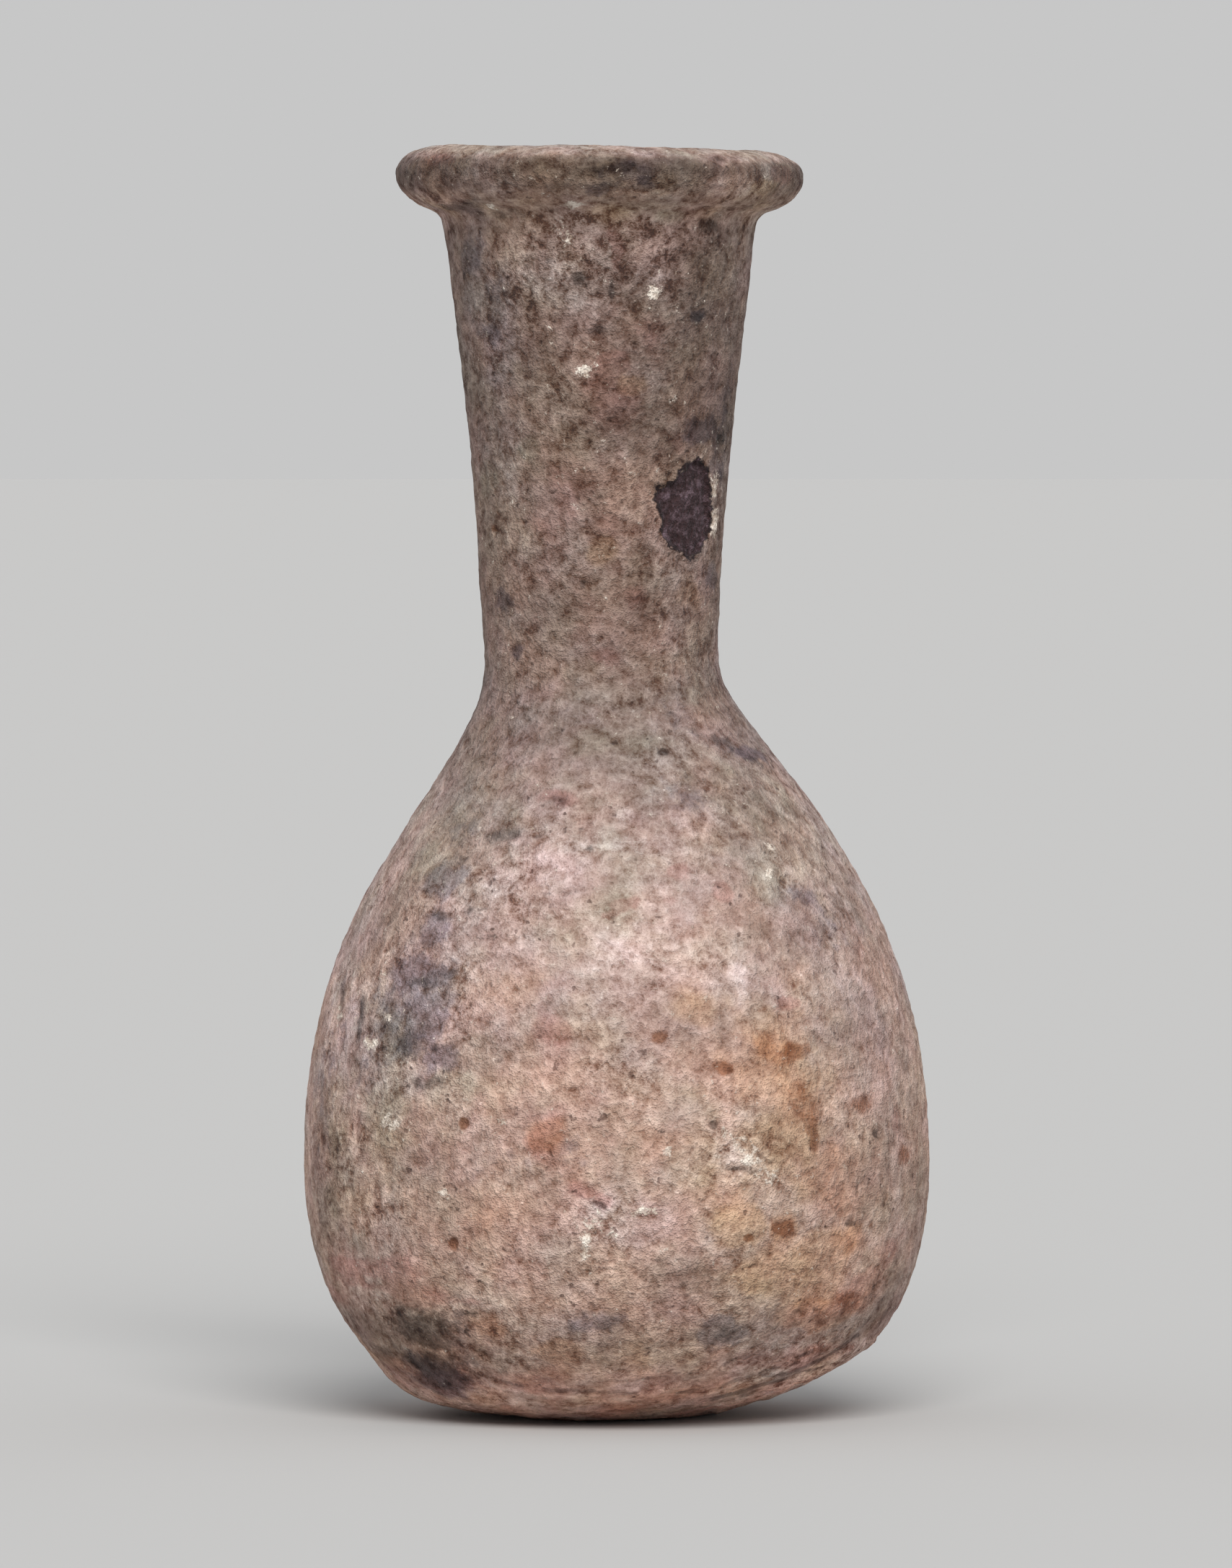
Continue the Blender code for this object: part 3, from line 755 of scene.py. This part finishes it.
# The stains of the sides that the photograph doesn't show: strength, size in millimetres and seed of each
UNSEEN = {
    "cool": (0.7, 17, 86),
    "green": (0.5, 15, 91),
    "ochre": (0.6, 16, 101),
    "orange": (0.45, 9, 111),
    "red": (0.5, 10, 121),
    "rust": (0.35, 2.5, 131),
    "grey": (0.5, 14, 141),
    "plum": (0.35, 7, 151),
    "dirt_and_side_shade": (0.5, 12, 156),
    "pale": (0.5, 9, 161),
    "soot": (0.35, 4, 171),
    "lime": (0.40, 5, 181),
}

# The clay's brightness at each level in millimetres, and how strongly its grain shows there. The brightness
# holds painted light: it is raised at the base, which faces down into shade, and just under the lip, where
# the lip's shade falls
LEVELS = [
    0, 3, 5, 8, 10, 12, 16, 21, 26, 32, 37, 43, 48, 52, 56, 60, 64, 68,
    72, 77, 82, 88, 93, 98, 104, 109, 112, 113.5, 115, 116, 117.3, 118.5, 119.2,
]
# Painted light: the tones at 0, 3 and 5 mm and at 113.5 and 115 mm are raised to paint out shade
TONES_WITH_PAINTED_LIGHT = [
    1.65, 1.55, 1.22, 0.86, 0.76, 0.98, 0.92, 0.97, 0.93, 1.07, 0.89, 1.08, 0.99, 0.90, 0.91, 0.77, 0.6, 0.5,
    0.53, 0.475, 0.5, 0.565, 0.445, 0.43, 0.43, 0.455, 0.53, 0.84, 0.76, 0.42, 0.24, 0.3, 0.36,
]
GRAIN_LEVELS = [0, 10, 16, 46, 58, 72, 92, 112, 119]
GRAINS = [1.15, 1.15, 0.95, 0.95, 1.05, 1.3, 1.4, 1.5, 1.35]
# How much both vary from place to place: share, size and seed
TONE_WIDE = (0.08, 22 * MM, 191)
TONE_BLOTCHES = (0.16, 7 * MM, 192)
GRAIN_PATCHES = (0.3, 6 * MM, 195)
# How much stronger the grain is in the middle of a rough area
ROUGHER = 0.5
# The lip's top, which faces the light, is painted as a highlight: a pale tone with cool and green tints
RIM_PAINTED_HIGHLIGHT = 0.95
RIM_PAINTED_HIGHLIGHT_TINTS = {"cool": 1.0, "green": 0.7}
INNER_TONE = 0.42
# A stroke with this half width in pixels wanders half as much as the ledges do, and a thinner one less
STROKE_WANDER = 8
# Where the stains of the sides that the photograph doesn't show begin and are full
UNSEEN_FROM = -4 * MM
UNSEEN_FULL = 14 * MM
UNSEEN_SPREAD = (0.2, 0.9)

# Stains that run round the flask: kind, levels in millimetres where each begins, is full and ends, strength
BELTS = [
    ("red", (-2, -1, 4, 9), 0.5),
    ("orange", (-2, -1, 6, 13), 0.45),
    ("cool", (30, 44, 64, 78), 0.8),
    ("green", (44, 54, 66, 80), 0.35),
    ("ochre", (110, 114, 118, 119), 0.4),
]


def stain_layers(surface):
    """(kind, share at each point) of every mark, stroke, unseen stain and belt, and of the cool and green
    tints of the painted highlight on the lip's top.
    """
    for kind, marks in MARKS.items():
        for x, y, half_width, half_height, strength in marks:
            yield kind, strength * mark_share(surface, x, y, half_width, half_height, *STAIN_FADE)
    for kind, half_width, strength, line in STROKES:
        x, y = surface.wandered(half_width / (half_width + STROKE_WANDER))
        distance, _ = line_distance(x, y, line)
        low, high = (half_width * fade for fade in STROKE_FADE)
        yield kind, strength * smooth_step(low, high, distance) * surface.front
    unseen = smooth_step(UNSEEN_FROM, UNSEEN_FULL, surface.y)
    for kind, (strength, size, seed) in UNSEEN.items():
        spread = smooth_step(*UNSEEN_SPREAD, layered(surface.points, size * MM, seed))
        yield kind, strength * spread * unseen
    for kind, levels, strength in BELTS:
        yield kind, strength * np.interp(surface.z / MM, levels, (0, 1, 1, 0))
    # Cool and green tints of the painted highlight on the lip's top
    for kind, strength in RIM_PAINTED_HIGHLIGHT_TINTS.items():
        yield kind, strength * surface.rim


def tone_of(surface):
    """The clay's brightness at each point of the outer side and the rim, with painted light at the base and
    under the lip, and a painted highlight on the lip's top.
    """
    wide, wide_size, wide_seed = TONE_WIDE
    blotches, blotch_size, blotch_seed = TONE_BLOTCHES
    tone = np.interp(surface.z / MM, LEVELS, TONES_WITH_PAINTED_LIGHT)
    tone *= (1 + wide * noise(surface.points, wide_size, wide_seed)
             + blotches * layered(surface.points, blotch_size, blotch_seed))
    return tone + (RIM_PAINTED_HIGHLIGHT - tone) * surface.rim


def grain_of(surface):
    """How strongly the grain shows at each point of the outer side."""
    patches, size, seed = GRAIN_PATCHES
    grain = np.interp(surface.z / MM, GRAIN_LEVELS, GRAINS)
    grain *= np.exp(patches * layered(surface.points, size, seed, gain=0.7))
    for x, y, half_width, half_height in ROUGH_AREAS:
        grain *= 1 + ROUGHER * mark_share(surface, x, y, half_width, half_height, *ROUGH_FADE)
    return grain


def write(mesh, name, values):
    layer = mesh.attributes.new(name, "FLOAT", "POINT")
    layer.data.foreach_set("value", values.astype(np.float32))


def paint(obj, form):
    """Writes each point's share of every stain, painted shade and painted highlight, its tone with its
    painted light, its grain and how far it lies inside the scar.
    """
    surface = Surface(obj.data, form)
    outer = np.maximum(surface.outside, surface.rim)
    shares = {kind: np.zeros(len(surface.points)) for kind in KINDS}
    for kind, share in stain_layers(surface):
        shares[kind] = np.maximum(shares[kind], share)
    for kind in KINDS:
        write(obj.data, kind, shares[kind] * outer)
    write(obj.data, "tone", INNER_TONE + (tone_of(surface) - INNER_TONE) * outer)
    write(obj.data, "grain", 1 + (grain_of(surface) - 1) * surface.outside)
    write(obj.data, "scar", np.clip(scar_depth_in(surface) / MM, -2, 2))


# Material

def colour(red, green, blue):
    """A colour of a screen, 0 to 255, as the shader's own."""
    def linear(level):
        share = level / 255
        return share / 12.92 if share <= 0.04045 else ((share + 0.055) / 1.055) ** 2.4
    return (linear(red), linear(green), linear(blue), 1.0)


# Noises of the material: size of the lumps in millimetres, detail, roughness, and a shift that parts them
SAND = (1.5, 4.0, 0.80, 3.1)
FINE = (0.55, 2.0, 0.65, 7.7)
PINKNESS = (6.0, 3.0, 0.55, 23.9)
YELLOWNESS = (6.0, 3.0, 0.55, 31.3)
HOLE_PATCHES = (6.0, 3.0, 0.6, 87.1)
LIME_BREAKS = (0.8, 4.0, 0.8, 61.9)
SCAR_BREAKS = (0.9, 3.0, 0.65, 71.3)
SCAR_POCKS = (0.9, 4.0, 0.75, 77.1)
# The noise that breaks up strong and faint stains: size, detail, roughness and strength
CRISP = (1.9, 4.0, 0.72, 1.7)
SOFT = (4.5, 2.5, 0.5, 1.5)
FAINT_FROM, FAINT_TO = 0.75, 1.25
FIRST_SHIFT, SHIFT_STEP = 41.7, 17.3
# Scattered spots: cell and radius in millimetres, shift, and the share of the cells that have one
SMALL_HOLES = [(1.1, 0.27, 5.3, 0.34), (1.9, 0.37, 11.9, 0.34)]
LARGE_HOLES = (4.3, 0.52, 29.9, 0.25)
GRITS = [(1.3, 0.20, 17.3, 0.16), (2.7, 0.34, 43.3, 0.12)]
HOLE_STRENGTH = 0.7
GRIT_STRENGTH = 0.55
LIME_STRENGTH = 0.9
# Colours, and factors of the clay's colour
CLAY = colour(176, 148, 135)
LIME = colour(216, 203, 190)
SCAR_FLOOR = colour(50, 33, 34)
SCAR_PALE = colour(94, 76, 82)
SCAR_SIDE = colour(38, 28, 27)
PINKER = ((0.955, 1.01, 1.0, 1.0), (1.05, 0.985, 0.985, 1.0))
YELLOWER = ((0.99, 1.0, 1.05, 1.0), (1.01, 1.0, 0.95, 1.0))
PINHOLE = (0.22, 0.15, 0.13, 1.0)
GRIT = (1.9, 2.15, 2.25, 1.0)
SAND_CONTRAST = (2.75, 3.3, 3.6)
SAND_LOWEST = (0.3, 0.24, 0.22)
# Heights of the bump in millimetres
SAND_BUMP = 1.1
FINE_BUMP = 0.05
HOLE_BUMP = -0.14
LIME_BUMP = 0.06


class Nodes:
    """Builds a material's nodes, one short call for each."""

    def __init__(self, material):
        material.use_nodes = True
        self.tree = material.node_tree
        self.shader = self.tree.nodes["Principled BSDF"]
        place = self.tree.nodes.new("ShaderNodeTexCoord").outputs["Object"]
        self.place = self.vector("SCALE", place, scale=1 / MM)

    def node(self, kind, inputs, **settings):
        made = self.tree.nodes.new(kind)
        for name, value in settings.items():
            setattr(made, name, value)
        for socket, value in inputs.items():
            if isinstance(value, bpy.types.NodeSocket):
                self.tree.links.new(value, made.inputs[socket])
            else:
                made.inputs[socket].default_value = value
        return made

    def vector(self, operation, first, second=(0, 0, 0), third=(0, 0, 0), scale=1):
        inputs = {0: first, 1: second, 2: third, 3: scale}
        return self.node("ShaderNodeVectorMath", inputs, operation=operation).outputs[0]

    def math(self, operation, first, second=0.0, third=0.0):
        inputs = {0: first, 1: second, 2: third}
        return self.node("ShaderNodeMath", inputs, operation=operation).outputs[0]

    def step(self, value, low, high, to_low=0.0, to_high=1.0):
        """The value's place between low and high, eased at both ends."""
        inputs = {"Value": value, "From Min": low, "From Max": high, "To Min": to_low, "To Max": to_high}
        return self.node("ShaderNodeMapRange", inputs, interpolation_type="SMOOTHSTEP").outputs[0]

    def shifted(self, shift):
        return self.vector("ADD", self.place, (shift, shift * 0.7, shift * 1.3))

    def noise(self, size, detail, roughness, shift):
        """Noise from 0 to 1 with lumps of that many millimetres."""
        inputs = {"Vector": self.shifted(shift), "Scale": 1 / size, "Detail": detail, "Roughness": roughness}
        return self.node("ShaderNodeTexNoise", inputs).outputs[0]

    def broken(self, share, breaks, strength):
        """A share whose edges are broken up by noise."""
        uneven = self.math("SUBTRACT", self.noise(*breaks), 0.5)
        return self.math("MULTIPLY_ADD", uneven, strength, share)

    def spots(self, cell, radius, shift, kept):
        """Uneven spots, 1 at their middles, in some share of the cells of a scatter."""
        uneven = self.node("ShaderNodeTexNoise", {"Vector": self.place, "Scale": 1.6, "Detail": 2.0})
        reach = (3 * radius,) * 3
        moved = self.vector("MULTIPLY_ADD", uneven.outputs[1], reach, self.shifted(shift))
        cells = self.node("ShaderNodeTexVoronoi", {"Vector": moved, "Scale": 1 / cell})
        near = self.step(cells.outputs["Distance"], radius / cell, 0.35 * radius / cell)
        number = self.node("ShaderNodeSeparateColor", {0: cells.outputs["Color"]}).outputs[0]
        return self.math("MULTIPLY", near, self.math("LESS_THAN", number, kept))

    def mix(self, share, first, second, blend="MIX"):
        made = self.node("ShaderNodeMix", {0: share}, data_type="RGBA", blend_type=blend, clamp_factor=True)
        for index, value in ((6, first), (7, second)):
            if isinstance(value, bpy.types.NodeSocket):
                self.tree.links.new(value, made.inputs[index])
            else:
                made.inputs[index].default_value = value
        return made.outputs[2]

    def times(self, first, second):
        return self.mix(1.0, first, second, "MULTIPLY")

    def share(self, name):
        return self.node("ShaderNodeAttribute", {}, attribute_name=name).outputs["Fac"]

    def grey(self, value):
        return self.node("ShaderNodeCombineColor", {0: value, 1: value, 2: value}).outputs[0]


def bare_clay(n):
    """The clay's own colour, pinker or yellower from place to place, at the tone of each point, which also
    holds painted light and a painted highlight.
    """
    pinker = n.mix(n.step(n.noise(*PINKNESS), 0.32, 0.68), *PINKER)
    yellower = n.mix(n.step(n.noise(*YELLOWNESS), 0.32, 0.68), *YELLOWER)
    clay = n.times(n.times(pinker, yellower), CLAY)
    return n.times(clay, n.grey(n.share("tone")))


def stained(n, clay):
    """The clay with every stain on it, and with the painted shade and painted highlights that share their
    kinds. Strong stains have the crisper edges.
    """
    for index, (kind, (light, tint)) in enumerate(STAINS.items()):
        size, detail, roughness, strength = SOFT if FAINT_FROM <= light <= FAINT_TO else CRISP
        breaks = (size, detail, roughness, FIRST_SHIFT + SHIFT_STEP * index)
        share = n.step(n.broken(n.share(kind), breaks, strength), 0.2, 0.8)
        stain = (*(light * value for value in tint), 1.0)
        clay = n.mix(share, clay, n.times(clay, stain))
    return clay


def scarred(n, clay, speckle):
    """The clay with the scar's dark floor, paler where it is pocked, and its darker side."""
    edge = n.broken(n.share("scar"), SCAR_BREAKS, 1.3)
    floor = n.mix(n.step(n.noise(*SCAR_POCKS), 0.44, 0.68), SCAR_FLOOR, SCAR_PALE)
    floor = n.mix(n.step(edge, 0.05, 0.35), SCAR_SIDE, floor)
    return n.mix(n.step(edge, -0.12, 0.12), clay, n.times(floor, speckle))


def weathered_ceramic():
    """Unglazed fired clay with stains, grain, pinholes, grit, lime and the scar."""
    material = bpy.data.materials.new("weathered_ceramic")
    n = Nodes(material)
    sand = n.noise(*SAND)
    grains = n.math("MULTIPLY", n.math("SUBTRACT", sand, 0.5), n.share("grain"))
    speckle = n.vector("MULTIPLY_ADD", grains, SAND_CONTRAST, (1.0, 1.0, 1.0))
    speckle = n.vector("MAXIMUM", speckle, SAND_LOWEST)
    clay = n.times(stained(n, bare_clay(n)), speckle)

    holes = n.math("MAXIMUM", *(n.spots(*scatter) for scatter in SMALL_HOLES))
    holes = n.math("MULTIPLY", holes, n.step(n.noise(*HOLE_PATCHES), 0.42, 0.60, 0.25, 1.0))
    holes = n.math("MAXIMUM", holes, n.spots(*LARGE_HOLES))
    clay = n.mix(n.math("MULTIPLY", holes, HOLE_STRENGTH), clay, n.times(clay, PINHOLE))
    grit = n.math("MAXIMUM", *(n.spots(*scatter) for scatter in GRITS))
    clay = n.mix(n.math("MULTIPLY", grit, GRIT_STRENGTH), clay, n.times(clay, GRIT))

    limy = n.step(n.broken(n.share("lime"), LIME_BREAKS, 4.0), 0.45, 0.95)
    crust = n.mix(0.8, LIME, n.times(LIME, speckle))
    clay = n.mix(n.math("MULTIPLY", limy, LIME_STRENGTH), clay, crust)
    clay = scarred(n, clay, speckle)

    roughness = n.step(sand, 0.4, 0.6, 0.95, 0.78)
    height = n.math("MULTIPLY", sand, SAND_BUMP)
    for layer, layer_height in ((n.noise(*FINE), FINE_BUMP), (holes, HOLE_BUMP), (limy, LIME_BUMP)):
        height = n.math("MULTIPLY_ADD", layer, layer_height, height)
    bump = n.node("ShaderNodeBump", {"Height": height, "Strength": 0.9, "Distance": MM}).outputs[0]

    n.tree.links.new(clay, n.shader.inputs["Base Color"])
    n.tree.links.new(roughness, n.shader.inputs["Roughness"])
    n.tree.links.new(bump, n.shader.inputs["Normal"])
    n.shader.inputs["Specular IOR Level"].default_value = 0.18
    n.shader.inputs["Metallic"].default_value = 0.0
    n.shader.inputs["Sheen Weight"].default_value = 0.04
    n.shader.inputs["Sheen Roughness"].default_value = 0.6
    n.shader.inputs["Sheen Tint"].default_value = (0.82, 0.88, 1.0, 1.0)
    return material


def plain(name, tint):
    """A plain matte material for the floor."""
    material = bpy.data.materials.new(name)
    material.use_nodes = True
    shader = material.node_tree.nodes["Principled BSDF"]
    shader.inputs["Base Color"].default_value = tint
    shader.inputs["Roughness"].default_value = 0.95
    shader.inputs["Specular IOR Level"].default_value = 0.1
    return material


# Stage

FLOOR_HALF = 12.0
FLOOR_TINT = colour(184, 184, 184)
WORLD_TINT = colour(199, 199, 199)
WORLD_STRENGTH = 1.0

# Each light's azimuth to the right of the camera, elevation, width as seen, strength and colour
LIGHTS = {
    "key": (6, 38, 34, 3.1, (1.0, 0.985, 0.96)),
    "rim_right": (125, 32, 45, 0.12, (0.86, 0.93, 1.0)),
    "rim_left": (-125, 32, 45, 0.12, (0.86, 0.93, 1.0)),
}


def add_floor():
    bpy.ops.mesh.primitive_plane_add(size=2 * FLOOR_HALF)
    floor = bpy.context.active_object
    floor.name = "floor"
    floor.data.materials.append(plain("floor_paper", FLOOR_TINT))


def add_lights():
    for name, (azimuth, elevation, width, strength, tint) in LIGHTS.items():
        data = bpy.data.lights.new(name, "SUN")
        data.angle = math.radians(width)
        data.energy = strength
        data.color = tint
        lamp = bpy.data.objects.new(name, data)
        bpy.context.scene.collection.objects.link(lamp)
        turn, rise = math.radians(azimuth), math.radians(elevation)
        away = Vector((math.sin(turn) * math.cos(rise), -math.cos(turn) * math.cos(rise), math.sin(rise)))
        lamp.location = away
        lamp.rotation_euler = away.to_track_quat("Z", "Y").to_euler()
    world = bpy.data.worlds.new("studio")
    world.use_nodes = True
    background = world.node_tree.nodes["Background"]
    background.inputs["Color"].default_value = WORLD_TINT
    background.inputs["Strength"].default_value = WORLD_STRENGTH
    bpy.context.scene.world = world


def add_camera():
    data = bpy.data.cameras.new("camera")
    data.sensor_width = SENSOR
    data.lens = SENSOR * CAMERA_DISTANCE / (PHOTO_HEIGHT * PIXEL)
    data.clip_start = 0.05
    data.clip_end = 4 * FLOOR_HALF
    camera = bpy.data.objects.new("camera", data)
    bpy.context.scene.collection.objects.link(camera)
    camera.location = camera_place()
    camera.rotation_euler = (camera.location - CAMERA_AIM).to_track_quat("Z", "Y").to_euler()
    bpy.context.scene.camera = camera


def add_flask():
    """The fine mesh that stands for the CAD node, carved and painted."""
    flask = even_copy(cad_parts["flask"], "weathered_flask")
    smooth_inside(flask)
    form = Form(flask.data)
    thinned(flask, carve(flask, form))
    paint(flask, form)
    flask.data.materials.clear()
    flask.data.materials.append(weathered_ceramic())
    flask.data.shade_smooth()
    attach(flask, "root")
    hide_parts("flask")


add_flask()
add_floor()
add_lights()
add_camera()
bpy.context.scene.view_settings.view_transform = "Standard"
